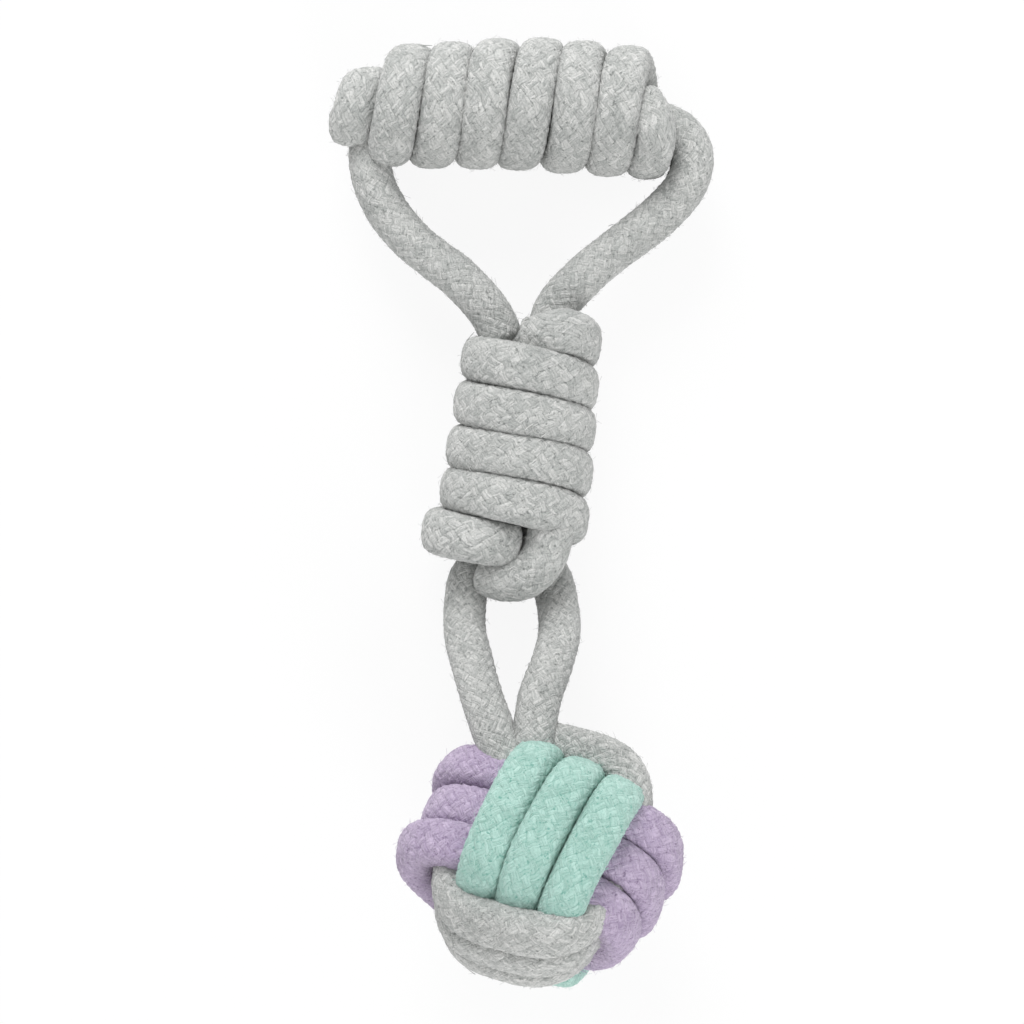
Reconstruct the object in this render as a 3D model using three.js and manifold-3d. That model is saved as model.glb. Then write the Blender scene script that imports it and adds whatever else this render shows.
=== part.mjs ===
import * as THREE from 'three';
import { mergeVertices } from 'three/addons/utils/BufferGeometryUtils.js';
import Module from 'manifold-3d';

const wasm = await Module();
wasm.setup();

// All lengths are in millimetres. The toy lies flat: +Y runs from the ball to the handle, +Z is up.

// Rope and fits
const ropeDiameter = 11.5;
const turnGap = 0.5;
const pressGap = 0.3;
const domeGap = 0.4;
const domeInset = 0.25;
const restCut = ropeDiameter / 10;
const legSides = 10;
const loopSteps = 24;

// Handle: one rope wound along X over a core
const handleAxis = { x: 2.75, y: 111.2 };
const handleTurns = 7;
const handlePitch = 11.9;
const handleRadius = 12;
const handleEndRadius = 11.3;
const handleSagLeft = 2.2;
const handleSagRight = 4.8;
const sagPower = 1.3;
const handleRopeThickness = 11.3;
const handleStart = 0.28;
const curlRadius = 4.8;
const curlTurns = 0.06;
const curlPitch = 1.1;
const tailLean = 0.25;
const tailLead = 2;
const coreSlack = 0.6;

// Folding axes, all parallel to X
const handleFold = { y: 63.6, left: -16.8, right: 16.6 };
const ballFold = { y: -31.8, z: 20, left: -14.9, right: 10 };
const ballTilt = { y: -50, z: 34, left: -9.8, right: 3.6 };

// Bends of the rope between the handle and the knot, seen from above
const leftLegBends = [[-40, 88.2], [-35.9, 81.2], [-29.9, 74], [-23.3, 68.6]];
const rightLegBends = [[45, 89.2], [42, 85], [36.4, 79.5], [29.3, 74], [21.8, 68.2]];
const rightShoulder = [[46.4, 99], [46.6, 94.2]];
const shoulderDrop = 0.7;
const rightLegOut = [[0, -1.4, -2.4], [2.6, -3, -2.4]];

// Knot: a rope wound round the two strands of the toy's loop
const knotTop = { x: 3, y: 37.55 };
const leftTopBend = { x: -8.6, y: 54.4, drop: 0 };
const rightTopBend = { x: 9.4, y: 55.4, drop: 1 };
const leftBottomBends = [[-10, -13, 3.2], [-13.8, -20, 2]];
const rightBottomBends = [[4.8, -13, 5.6], [8.6, -20, 4.6]];
const knotLean = 6.5 * Math.PI / 180;
const knotPitch = 11.9;
const knotEase = 0.43;
const knotTurns = 5;
const knotLead = 0.03;
const knotWidth = { top: 12.9, bottom: 15.1, bulge: 18.6 };
const knotDepth = 12.9;
const knotRopeThickness = 11;
const bightBends = [
  [8.6, 2, 4.75], [8, -5, 7.35], [6.2, -12, 8.35], [1.4, -17.2, 7.35], [-5, -18, 4.75], [-10.5, -15.4, 1.25],
];

// Ball: three bands, each of three turns, woven over and under each other round a core
const ballAt = { x: 5.7, y: -94.1, z: 33.5 };
const ballTurn = -22 * Math.PI / 180;
const ballTip = -28 * Math.PI / 180;
const bandTurns = 3;
const bandPitch = 11.8;
const bandRopeThickness = 9;
const bandUnder = 20.4;
const bandOver = { mint: 29.8, lavender: 29, grey: 28.6 };
const bandSquareness = 3.2;
const outerLaneLean = 0.3;
const laneSteps = 2;
const laneSqueeze = 9.7;
const plainLay = { less: [0, 0, 0], slide: [0, 0, 0], rise: 0, lead: 0, shift: 0, ease: 0 };
const mintLay = { ...plainLay, more: [-1.2, 0, -1.2], rise: 0.07, lead: -0.07, shift: 2.2 };
const lavenderLay = { ...plainLay, more: [0.1, 0, 2], slide: [-2, 0, 0] };
const greyLay = { ...plainLay, more: [-1.2, 0, -1.2], less: [2.8, 0.8, 0], rise: 0.24, shift: 5, ease: 1.4 };
const entryReach = 0.632;
const entryLeft = -3.4;

const ropeRadius = ropeDiameter / 2;

function hexagon(width, thickness) {
  const w = width / 2;
  const t = thickness / 2;
  return [[w, 0], [w / 2, t], [-w / 2, t], [-w, 0], [-w / 2, -t], [w / 2, -t]];
}

function oval(width, thickness, sides) {
  const corners = [];
  for (let i = 0; i < sides; i++) {
    const a = 2 * Math.PI * (i + 0.5) / sides;
    corners.push([Math.cos(a) * width / 2, Math.sin(a) * thickness / 2]);
  }
  return corners;
}

function strandSection(width, thickness) {
  return oval(width, thickness, legSides);
}

// A closed tube through stations of { at, out, section }, where out points away from what the rope lies on.
function tube(stations) {
  const positions = [];
  const index = [];
  const sides = stations[0].section.length;
  const last = stations.length - 1;
  stations.forEach((station, i) => {
    const before = stations[Math.max(i - 1, 0)].at;
    const after = stations[Math.min(i + 1, last)].at;
    const along = after.clone().sub(before).normalize();
    const out = station.out.clone().addScaledVector(along, -along.dot(station.out)).normalize();
    const side = out.clone().cross(along);
    for (const [s, o] of station.section) {
      const corner = station.at.clone().addScaledVector(side, s).addScaledVector(out, o);
      positions.push(corner.x, corner.y, corner.z);
    }
  });
  for (let i = 0; i < last; i++) {
    for (let j = 0; j < sides; j++) {
      const a = i * sides + j;
      const b = i * sides + (j + 1) % sides;
      index.push(a, b, b + sides, a, b + sides, a + sides);
    }
  }
  for (let j = 1; j < sides - 1; j++) {
    index.push(0, j + 1, j);
    index.push(last * sides, last * sides + j, last * sides + j + 1);
  }
  const geometry = new THREE.BufferGeometry();
  geometry.setAttribute('position', new THREE.Float32BufferAttribute(positions, 3));
  geometry.setIndex(index);
  return geometry;
}

function solidOf(geometry) {
  const bare = geometry.clone();
  bare.deleteAttribute('normal');
  bare.deleteAttribute('uv');
  const merged = mergeVertices(bare, 1e-4);
  const vertProperties = new Float32Array(merged.attributes.position.array);
  const triVerts = new Uint32Array(merged.index.array);
  return new wasm.Manifold(new wasm.Mesh({ numProp: 3, vertProperties, triVerts }));
}

function geometryOf(solid) {
  const mesh = solid.getMesh();
  const geometry = new THREE.BufferGeometry();
  geometry.setAttribute('position', new THREE.Float32BufferAttribute(mesh.vertProperties, 3));
  geometry.setIndex(Array.from(mesh.triVerts));
  geometry.computeVertexNormals();
  return geometry;
}

function largest(solid) {
  const pieces = solid.decompose();
  return pieces.reduce((best, piece) => (piece.volume() > best.volume() ? piece : best));
}

function without(solid, ...others) {
  return largest(others.reduce((left, other) => left.subtract(other), solid));
}

const belowFloor = solidOf(new THREE.BoxGeometry(400, 500, 40).translate(0, 0, -20));

// The least distance between points on a winding's turns that are over half a turn apart.
function leastGap(stations) {
  const rings = stations.map(({ at, out, section }, i) => {
    const along = stations[Math.min(i + 1, stations.length - 1)].at.clone();
    along.sub(stations[Math.max(i - 1, 0)].at).normalize();
    const up = out.clone().addScaledVector(along, -along.dot(out)).normalize();
    const side = up.clone().cross(along);
    return section.map(([s, o]) => at.clone().addScaledVector(side, s).addScaledVector(up, o));
  });
  let least = Infinity;
  for (let i = 0; i < rings.length; i++) {
    for (let j = i + loopSteps / 2; j < rings.length; j++) {
      for (const a of rings[i]) {
        for (const b of rings[j]) {
          least = Math.min(least, a.distanceTo(b));
        }
      }
    }
  }
  return least;
}

function grown(stations, by) {
  return stations.map(({ at, out, width, thickness, shape }) => ({
    at, out, width, thickness, shape, section: shape(width + 2 * by, thickness + 2 * by),
  }));
}

function station(at, out, width, thickness, shape = hexagon) {
  return { at, out, width, thickness, shape, section: shape(width, thickness) };
}

const axisX = new THREE.Vector3(1, 0, 0);
const axisY = new THREE.Vector3(0, 1, 0);
const axisZ = new THREE.Vector3(0, 0, 1);

// Handle
const handleOuter = handleRadius + handleRopeThickness / 2;
const handleHeight = handleOuter - restCut;
const handleCentre = new THREE.Vector3(handleAxis.x, handleAxis.y, handleHeight);
const handleSlope = Math.atan(handlePitch / (2 * Math.PI * handleRadius));
const handleHalf = (handleTurns - 1) / 2;
const sagSlope = Math.atan(sagPower * handleSagRight / (handlePitch * handleHalf));
const handleRopeWidth = handlePitch * Math.cos(handleSlope) * Math.cos(sagSlope) - turnGap;
const firstFront = 0.25;
const lastFront = firstFront + handleTurns - 1;
const curlFront = lastFront + 1;

function handleTurnRadius(turn) {
  const share = Math.min(Math.abs(turn - firstFront - handleHalf) / handleHalf, 1);
  const barrel = handleRadius - (handleRadius - handleEndRadius) * share * share;
  const curl = THREE.MathUtils.clamp((turn - lastFront) / (curlFront - lastFront), 0, 1);
  return barrel + (curlRadius - barrel) * THREE.MathUtils.smoothstep(curl, 0, 1);
}

// How far the handle's axis sags at a distance x from its middle.
function handleSag(x) {
  const share = x / (handlePitch * handleHalf);
  const right = handleSagRight * THREE.MathUtils.clamp(share, 0, 1.2) ** sagPower;
  const left = handleSagLeft * THREE.MathUtils.clamp(-share, 0, 1) ** 2;
  return right + left * (1 + THREE.MathUtils.smoothstep(share, -1.4, -1)) / 2;
}

function handlePoint(turn) {
  const angle = turn * 2 * Math.PI;
  const out = new THREE.Vector3(0, Math.cos(angle), Math.sin(angle));
  const at = handleCentre.clone().addScaledVector(out, handleTurnRadius(turn));
  const wound = Math.min(turn, lastFront) + curlPitch * Math.max(turn - lastFront, 0);
  const x = handlePitch * (handleHalf - (wound - firstFront));
  at.x += x;
  at.y -= handleSag(x);
  return { at, out };
}

const handleStations = [];
const handleSpan = curlFront + curlTurns - handleStart;
const handleSteps = Math.round(handleSpan * loopSteps);
for (let i = 0; i <= handleSteps; i++) {
  const turn = handleStart + handleSpan * i / handleSteps;
  const { at, out } = handlePoint(turn);
  handleStations.push(station(at, out, handleRopeWidth, handleRopeThickness));
}
const curlEnd = handleStations[handleSteps];
const curlWay = curlEnd.at.clone().sub(handleStations[handleSteps - 1].at).normalize();
curlWay.setX(tailLean).normalize();
const tailEnd = curlEnd.at.clone().addScaledVector(curlWay, ropeDiameter);
handleStations.push(station(tailEnd, curlEnd.out, handleRopeWidth, handleRopeThickness));
const handleGrown = solidOf(tube(grown(handleStations, pressGap)));
const handleWinding = without(solidOf(tube(handleStations)), belowFloor);

const coreStations = [];
const coreSteps = 12;
const coreReach = handlePitch * handleHalf + handleRopeWidth / 4;
const coreStart = handleRopeWidth / 4 - handlePitch * handleHalf;
for (let i = 0; i <= coreSteps; i++) {
  const x = coreStart + (coreReach - coreStart) * i / coreSteps;
  const turn = firstFront + handleHalf - Math.min(Math.abs(x) / handlePitch, handleHalf);
  const width = 2 * (handleTurnRadius(turn) - coreSlack) - handleRopeThickness;
  const at = handleCentre.clone().add(new THREE.Vector3(x, -handleSag(x), 0));
  coreStations.push(station(at, axisZ, width, width, strandSection));
}
const handleCore = solidOf(tube(coreStations));

// Free stretches of the rope
function freeRope(route, steps, diameter = ropeDiameter) {
  const outline = new THREE.Shape();
  oval(diameter, diameter, legSides).forEach(([x, y], i) => {
    if (i === 0) {
      outline.moveTo(x, y);
    } else {
      outline.lineTo(x, y);
    }
  });
  outline.closePath();
  const extrudePath = new THREE.CatmullRomCurve3(route);
  return solidOf(new THREE.ExtrudeGeometry(outline, { steps, extrudePath, bevelEnabled: false }));
}

const domeRadius = ropeRadius - domeInset;
const stubReach = domeRadius + domeGap;

function domed(rope, ...centres) {
  return centres.reduce((whole, centre) => {
    const dome = new THREE.SphereGeometry(domeRadius, 12, 8);
    dome.translate(centre.x, centre.y, centre.z);
    return whole.add(solidOf(dome));
  }, rope);
}

const knotHeight = knotDepth + knotRopeThickness / 2 - restCut;
const legHeight = (handleHeight + knotHeight) / 2;
const leftRoot = new THREE.Vector3(handleFold.left, handleFold.y, legHeight);
const rightRoot = new THREE.Vector3(handleFold.right, handleFold.y, legHeight);
const coreEnd = new THREE.Vector3(coreReach + pressGap, -handleSag(coreReach), 0).add(handleCentre);
const leftLegRoute = [
  tailEnd.clone().addScaledVector(curlWay, pressGap),
  tailEnd.clone().addScaledVector(curlWay, pressGap + tailLead),
  ...leftLegBends.map(([x, y]) => new THREE.Vector3(x, y, legHeight)),
  leftRoot,
];
const rightLegRoute = [
  ...rightLegOut.map(([x, y, z]) => new THREE.Vector3(x, y, z).add(coreEnd)),
  ...rightShoulder.map(([x, y]) => new THREE.Vector3(x, y, handleHeight - shoulderDrop)),
  ...rightLegBends.map(([x, y]) => new THREE.Vector3(x, y, legHeight)),
  rightRoot,
];
const leftLeg = without(domed(freeRope(leftLegRoute, 12), leftRoot), handleGrown);
const coreRoom = new THREE.BoxGeometry(2 * coreReach, 2 * handleOuter, 2 * handleOuter);
coreRoom.translate(coreEnd.x - coreReach, coreEnd.y, coreEnd.z);
const rightRope = domed(freeRope(rightLegRoute, 18), rightRoot);
const rightLeg = without(rightRope, handleGrown, solidOf(coreRoom));

// Knot
const knotUp = new THREE.Vector3(Math.sin(knotLean), Math.cos(knotLean), 0);
const knotAcross = new THREE.Vector3(Math.cos(knotLean), -Math.sin(knotLean), 0);

function knotAxisAt(u) {
  return new THREE.Vector3(knotTop.x, knotTop.y, knotHeight).addScaledVector(knotUp, u);
}

function knotHalfWidth(turn) {
  const share = THREE.MathUtils.clamp(turn / (knotTurns - 1), 0, 1);
  const plain = knotWidth.top + (knotWidth.bottom - knotWidth.top) * share;
  const bulge = THREE.MathUtils.smoothstep(turn, knotTurns - 0.75, knotTurns - 0.25);
  return plain + (knotWidth.bulge - plain) * bulge;
}

const knotSlope = Math.atan(knotPitch * (1 + knotEase) / (2 * Math.PI * knotDepth));
const knotRopeWidth = knotPitch * Math.cos(knotSlope) - turnGap;
const knotStations = [];
const knotSteps = Math.round((knotTurns + 2 * knotLead) * loopSteps);
for (let i = 0; i <= knotSteps; i++) {
  const turn = (knotTurns + 2 * knotLead) * i / knotSteps - knotLead;
  const angle = turn * 2 * Math.PI;
  const at = knotAxisAt(knotPitch * (1 - turn + knotEase * Math.sin(angle) / (2 * Math.PI)));
  at.addScaledVector(knotAcross, knotHalfWidth(turn) * Math.sin(angle));
  at.z += knotDepth * Math.cos(angle);
  const out = new THREE.Vector3(0, 0, Math.cos(angle)).addScaledVector(knotAcross, Math.sin(angle));
  knotStations.push(station(at, out, knotRopeWidth, knotRopeThickness));
}
const knotGrown = solidOf(tube(grown(knotStations, pressGap)));
const knotWinding = without(solidOf(tube(knotStations)), belowFloor);

const holeRadius = knotDepth - knotRopeThickness / 2 - pressGap;
const strandWidth = holeRadius - pressGap / 2;
const strandOffset = strandWidth / 2 + pressGap / 2;
const strandDepth = 2 * Math.sqrt(holeRadius ** 2 - strandOffset ** 2);

function stubEnd(root, toward) {
  const way = toward.clone().sub(root).normalize();
  return root.clone().addScaledVector(way, stubReach);
}

function knotStrand(side, topRoot, topAt, bottomAts, bottomRoot) {
  const round = (at) => station(at, axisZ, ropeDiameter, ropeDiameter, strandSection);
  const pressed = (u) => {
    const at = knotAxisAt(u).addScaledVector(knotAcross, side * strandOffset);
    return station(at, axisZ, strandWidth, strandDepth, strandSection);
  };
  const lastAt = bottomAts[bottomAts.length - 1];
  return [
    round(stubEnd(topRoot, topAt)),
    round(topAt),
    pressed(knotPitch * 0.7),
    pressed(0),
    pressed(-knotPitch * (knotTurns - 1.5)),
    ...bottomAts.map(round),
    round(stubEnd(bottomRoot, lastAt)),
  ];
}

const ballFoldLeft = new THREE.Vector3(ballFold.left, ballFold.y, ballFold.z);
const ballFoldRight = new THREE.Vector3(ballFold.right, ballFold.y, ballFold.z);
const topBend = ({ x, y, drop }) => new THREE.Vector3(x, y, knotHeight - drop);
const bottomBend = ([x, y, drop]) => new THREE.Vector3(x, y, knotHeight - drop);
const leftStrandStations = knotStrand(
  -1, leftRoot, topBend(leftTopBend), leftBottomBends.map(bottomBend), ballFoldLeft,
);
const rightStrandStations = knotStrand(
  1, rightRoot, topBend(rightTopBend), rightBottomBends.map(bottomBend), ballFoldRight,
);
const leftStrand = without(solidOf(tube(leftStrandStations)), knotGrown);
const leftStrandGrown = solidOf(tube(grown(leftStrandStations, pressGap)));
const rightStrand = without(solidOf(tube(rightStrandStations)), knotGrown, leftStrandGrown);
const rightStrandGrown = solidOf(tube(grown(rightStrandStations, pressGap)));

const bightRoute = bightBends.map(([x, y, lift]) => new THREE.Vector3(x, y, knotHeight + lift));
const knotBight = without(freeRope(bightRoute, 14), knotGrown, leftStrandGrown, rightStrandGrown);

// Ball
const bandRopeWidth = bandPitch - turnGap;
const ballMatrix = new THREE.Matrix4().makeRotationX(ballTip);
ballMatrix.multiply(new THREE.Matrix4().makeRotationZ(ballTurn));
ballMatrix.setPosition(ballAt.x, ballAt.y, ballAt.z);

// A squarish loop that crosses over one neighbour at overReach and under the other at underReach.
function bandLoop(share, overReach, underReach) {
  const angle = Math.PI - 2 * Math.PI * share;
  const n = bandSquareness;
  const c = Math.cos(angle);
  const s = Math.sin(angle);
  const reach = (Math.abs(c / underReach) ** n + Math.abs(s / overReach) ** n) ** (-1 / n);
  const slope = (value, half) => Math.sign(value) * Math.abs(value / half) ** (n - 1) / half;
  const out = new THREE.Vector2(slope(reach * c, underReach), slope(reach * s, overReach)).normalize();
  return { q: reach * c, p: reach * s, out };
}

function alongLanes(values, lane) {
  const low = Math.min(Math.floor(lane + 1), bandTurns - 2);
  return THREE.MathUtils.lerp(values[low], values[low + 1], lane + 1 - low);
}

// One band as an unbroken tube. It moves to the next lane where its neighbour covers it. Its lay says how
// much more each lane reaches over, how much less it reaches under and how far it slides, how a strand
// rises to the next lane, how far that lane lies ahead, and how rise and shift fade under a neighbour.
function bandStations(overReach, overAxis, underAxis, laneAxis, lay) {
  const stations = [];
  for (let turn = 0; turn < bandTurns; turn++) {
    const last = turn === bandTurns - 1;
    const firstStep = turn === 0 ? laneSteps : 0;
    const lastStep = last ? loopSteps - laneSteps : loopSteps - 1;
    for (let i = firstStep; i <= lastStep; i++) {
      const early = Math.min(i / laneSteps, 1);
      const late = Math.max((i - loopSteps + laneSteps) / laneSteps, 0);
      const lane = turn - (bandTurns - 1) / 2 + (early - 1 + late) / 2;
      const laneReach = overReach + alongLanes(lay.more, lane);
      const { q, p, out } = bandLoop(i / loopSteps, laneReach, bandUnder - alongLanes(lay.less, lane));
      const raised = (lay.shift + lay.rise * q) * Math.abs(p / laneReach) ** lay.ease;
      const at = new THREE.Vector3().addScaledVector(underAxis, q + lay.lead * bandPitch * lane);
      at.addScaledVector(overAxis, p + alongLanes(lay.slide, lane) * Math.abs(p / laneReach));
      at.addScaledVector(laneAxis, bandPitch * lane + raised).applyMatrix4(ballMatrix);
      const facing = underAxis.clone().multiplyScalar(out.x).addScaledVector(overAxis, out.y);
      facing.addScaledVector(laneAxis, outerLaneLean * lane * Math.abs(out.y));
      facing.transformDirection(ballMatrix);
      const moving = early < 1 || late > 0;
      stations.push(station(at, facing, moving ? laneSqueeze : bandRopeWidth, bandRopeThickness));
    }
  }
  return stations;
}

const mintStations = bandStations(bandOver.mint, axisZ, axisY, axisX, mintLay);
const lavenderStations = bandStations(bandOver.lavender, axisX, axisZ, axisY, lavenderLay);
const greyStations = bandStations(bandOver.grey, axisY, axisX, axisZ, greyLay);
const mintGrown = solidOf(tube(grown(mintStations, pressGap)));
const lavenderGrown = solidOf(tube(grown(lavenderStations, pressGap)));
const greyGrown = solidOf(tube(grown(greyStations, pressGap)));
const mintWinding = without(solidOf(tube(mintStations)), greyGrown, belowFloor);
const lavenderWinding = without(solidOf(tube(lavenderStations)), mintGrown, belowFloor);
const greyWinding = without(solidOf(tube(greyStations)), lavenderGrown, belowFloor);
const coreRadius = bandUnder - Math.max(...greyLay.less) / 2 - bandRopeThickness / 2 - coreSlack;
const ballCore = new THREE.SphereGeometry(coreRadius, 16, 12);
ballCore.applyMatrix4(ballMatrix);

// Lower legs and where they go into the ball
const tiltLeft = new THREE.Vector3(ballTilt.left, ballTilt.y, ballTilt.z);
const tiltRight = new THREE.Vector3(ballTilt.right, ballTilt.y, ballTilt.z);
const legMiddle = (a, b) => a.clone().add(b).multiplyScalar(0.5);
const lowerLeft = [ballFoldLeft, legMiddle(ballFoldLeft, tiltLeft), tiltLeft];
const lowerRight = [ballFoldRight, legMiddle(ballFoldRight, tiltRight), tiltRight];
const lowerLeftLeg = domed(freeRope(lowerLeft, 3), ballFoldLeft, tiltLeft);
const lowerRightLeg = domed(freeRope(lowerRight, 3), ballFoldRight, tiltRight);

const holeReach = entryReach * (bandOver.mint + bandOver.lavender + bandOver.grey) / 3;
const holeIn = new THREE.Vector3(-holeReach, holeReach, holeReach).applyMatrix4(ballMatrix);
const leftIn = holeIn.clone().add(new THREE.Vector3(entryLeft, 0, 0));
const rightIn = leftIn.clone().add(new THREE.Vector3(ropeDiameter + turnGap, 0, 0));
const leftEntryRoute = [stubEnd(tiltLeft, leftIn), leftIn];
const rightEntryRoute = [stubEnd(tiltRight, rightIn), rightIn];
const bands = [mintGrown, lavenderGrown, greyGrown];
const leftEntry = without(freeRope(leftEntryRoute, 2), ...bands);
const leftEntryGrown = freeRope(leftEntryRoute, 2, ropeDiameter + 2 * pressGap);
const rightEntry = without(freeRope(rightEntryRoute, 2), ...bands, leftEntryGrown);

for (const [name, stations] of [
  ['handle_winding', handleStations], ['knot_winding', knotStations], ['mint_winding', mintStations],
  ['lavender_winding', lavenderStations], ['grey_winding', greyStations],
]) {
  console.log(`${name} least gap between turns ${leastGap(stations).toFixed(2)} mm`);
}

// Colours and assembly
const toy = new THREE.Group();
toy.name = 'rope_toy';

function add(name, geometry, color) {
  const material = new THREE.MeshStandardMaterial({ color, roughness: 0.95, metalness: 0 });
  const mesh = new THREE.Mesh(geometry, material);
  mesh.name = name;
  toy.add(mesh);
}

const grey = 0xb9b9b6;
const mint = 0xa8d4c6;
const lavender = 0xb8a5c4;
const cotton = 0xd8d4c8;
add('handle_winding', geometryOf(handleWinding), grey);
add('handle_core', geometryOf(handleCore), grey);
add('upper_leg_left', geometryOf(leftLeg), grey);
add('upper_leg_right', geometryOf(rightLeg), grey);
add('knot_winding', geometryOf(knotWinding), grey);
add('knot_strand_left', geometryOf(leftStrand), grey);
add('knot_strand_right', geometryOf(rightStrand), grey);
add('knot_bight', geometryOf(knotBight), grey);
add('lower_leg_left', geometryOf(lowerLeftLeg), grey);
add('lower_leg_right', geometryOf(lowerRightLeg), grey);
add('ball_entry_left', geometryOf(leftEntry), grey);
add('ball_entry_right', geometryOf(rightEntry), grey);
add('mint_winding', geometryOf(mintWinding), mint);
add('lavender_winding', geometryOf(lavenderWinding), lavender);
add('grey_winding', geometryOf(greyWinding), grey);
add('ball_core', ballCore, cotton);

export default toy;
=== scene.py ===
"""Dresses the rope toy's frame: braided cotton ropes, their loose fibres, and a soft white studio."""
import logging
import math
from dataclasses import dataclass
from enum import Enum

import bmesh
import bpy
import numpy as np
from bpy.types import ID, Material, Node, NodeSocket, NodeTree, Object
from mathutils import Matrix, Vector


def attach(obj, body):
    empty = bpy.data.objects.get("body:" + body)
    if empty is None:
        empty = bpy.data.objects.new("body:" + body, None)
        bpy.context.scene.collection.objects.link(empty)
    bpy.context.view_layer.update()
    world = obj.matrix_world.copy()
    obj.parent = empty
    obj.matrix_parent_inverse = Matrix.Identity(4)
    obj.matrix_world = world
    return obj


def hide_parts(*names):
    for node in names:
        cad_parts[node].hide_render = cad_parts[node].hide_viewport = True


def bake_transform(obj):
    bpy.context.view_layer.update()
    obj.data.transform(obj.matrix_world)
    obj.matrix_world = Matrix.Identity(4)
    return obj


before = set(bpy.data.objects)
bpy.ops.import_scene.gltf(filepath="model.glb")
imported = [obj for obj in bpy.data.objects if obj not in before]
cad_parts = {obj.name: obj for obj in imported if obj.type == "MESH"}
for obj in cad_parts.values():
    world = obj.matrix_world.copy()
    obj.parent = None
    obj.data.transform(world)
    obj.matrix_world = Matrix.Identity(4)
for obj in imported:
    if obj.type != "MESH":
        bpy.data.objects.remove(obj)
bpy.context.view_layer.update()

log = logging.getLogger("rope_toy")

Array = np.ndarray
Pair = tuple[float, float]
Triple = tuple[float, float, float]
Route = tuple[Triple, ...]

# Sizes are in millimetres and become metres where a piece is made.
MM = 0.001
FULL_TURN = 2 * math.pi
UP = (0.0, 0.0, 1.0)
ROPE = 11.5

# How square a rope's section is: 2 for a circle, more for a flatter side.
ROUND = 2.15
PRESSED = 2.8

# The braid's strands, which the mesh and the shader draw alike.
BRAID_MAP = "braid"
CROWN_SPREAD = 1.94
CROWN_POWER = 3.0
DIP_LEVEL = 0.3
DIP_POWER = 0.6

# What only the shader draws. A step has its start and end, and shares are the least and the greatest.
COTTON_GLOSS = 0.2
YARNS_PER_STRAND = 3.0
YARN_STRAY = 0.5
FALLING_LANES = 57.0
STREAKS = (3.0, 0.5)
# Painted shade for the gaps between strands and the grooves between yarns, stronger in some patches than in
# others.
PATCH_STEP = (0.4, 0.6)
GAP_SHADE_STEP = (0.5, 0.15)
GAP_SHADE_SHARES = (0.25, 1.0)
GROOVE_SHADE_STEP = (0.55, 0.05)
GROOVE_SHADE_SHARES = (0.1, 0.55)
STRAND_RELIEF = 0.6
YARN_RELIEF = 0.45
FIBRE_RELIEF = 0.6

# Random seeds, and how finely things are worked out.
FIBRE_SEED = 100
HALVES_SEED = 50
OUTLINE_STEPS = 48
ROUTE_STEPS = 200
WINDING_STEPS = 1300
TINY = 1e-6


class Body(Enum):
    """The bodies that the pieces ride on."""

    KNOT = "knot"
    HANDLE = "handle"
    LOWER_LEGS = "lower_legs"
    BALL = "ball"


class Slot(Enum):
    """The material slots of the record."""

    GREY = "grey_cotton"
    MINT = "mint_cotton"
    LAVENDER = "lavender_cotton"
    CORE = "core_cotton"


def place(name: str, data: ID) -> Object:
    """Puts a new object into the scene.

    Args:
        name: The object's name.
        data: Its mesh, curve, camera or light.

    Returns:
        The object.
    """
    placed = bpy.data.objects.new(name, data)
    bpy.context.scene.collection.objects.link(placed)
    return placed


# Finishes


class Sums:
    """Writes the nodes of one tree."""

    def __init__(self, tree: NodeTree) -> None:
        """Keeps the tree that the nodes go into."""
        self.tree = tree

    def fill(self, node: Node, values: dict[str | int, object]) -> Node:
        """Links or sets inputs of a node.

        Args:
            node: The node.
            values: Sockets or plain values, by the names or numbers of the inputs.

        Returns:
            The same node.
        """
        for key, value in values.items():
            if isinstance(value, NodeSocket):
                self.tree.links.new(value, node.inputs[key])
            else:
                node.inputs[key].default_value = value
        return node

    def add(self, kind: str, *values: object, **settings: object) -> Node:
        """Adds a node.

        Args:
            kind: The node's type name.
            values: Its first inputs, as sockets or plain values.
            settings: Attributes to set on it.

        Returns:
            The new node.
        """
        node = self.tree.nodes.new(kind)
        for name, value in settings.items():
            setattr(node, name, value)
        return self.fill(node, dict(enumerate(values)))

    def math(self, operation: str, *values: object) -> NodeSocket:
        """Adds one Math node and gives its result."""
        return self.add("ShaderNodeMath", *values, operation=operation).outputs[0]

    def mix(self, share: object, first: object, second: object) -> NodeSocket:
        """Adds a Mix node for numbers, or for colours if the second value is one.

        Args:
            share: How much of the second value shows.
            first: The value at share 0.
            second: The value at share 1.

        Returns:
            The mixed value.
        """
        coloured = isinstance(second, tuple)
        kind, inputs, output = ("RGBA", (0, 6, 7), 2) if coloured else ("FLOAT", (0, 2, 3), 0)
        node = self.add("ShaderNodeMix", data_type=kind, clamp_factor=True)
        return self.fill(node, dict(zip(inputs, (share, first, second)))).outputs[output]

    def ramp(self, value: object, low: float, high: float) -> NodeSocket:
        """Adds a smooth step from 0 at low to 1 at high and gives the stepped value."""
        step = {"interpolation_type": "SMOOTHSTEP", "clamp": True}
        return self.add("ShaderNodeMapRange", value, low, high, 0.0, 1.0, **step).outputs[0]

    def noise(
        self, vector: object, scale: float, detail: float = 3.0, roughness: float = 0.7
    ) -> NodeSocket:
        """Adds a Noise Texture node that is read at a vector, and gives its value."""
        inputs = {"Vector": vector, "Scale": scale, "Detail": detail, "Roughness": roughness}
        return self.fill(self.add("ShaderNodeTexNoise", noise_dimensions="3D"), inputs).outputs[0]

    def vector(self, *values: object) -> NodeSocket:
        """Joins three values to a vector."""
        return self.add("ShaderNodeCombineXYZ", *values).outputs[0]

    def seen(self) -> NodeSocket:
        """Finds what the camera sees, directly, in a gloss or through glass.

        Returns:
            A value of 1 there and 0 elsewhere.
        """
        rays = self.add("ShaderNodeLightPath").outputs
        direct = self.math("MAXIMUM", rays["Is Camera Ray"], rays["Is Glossy Ray"])
        return self.math("MAXIMUM", direct, rays["Is Transmission Ray"])


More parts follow.
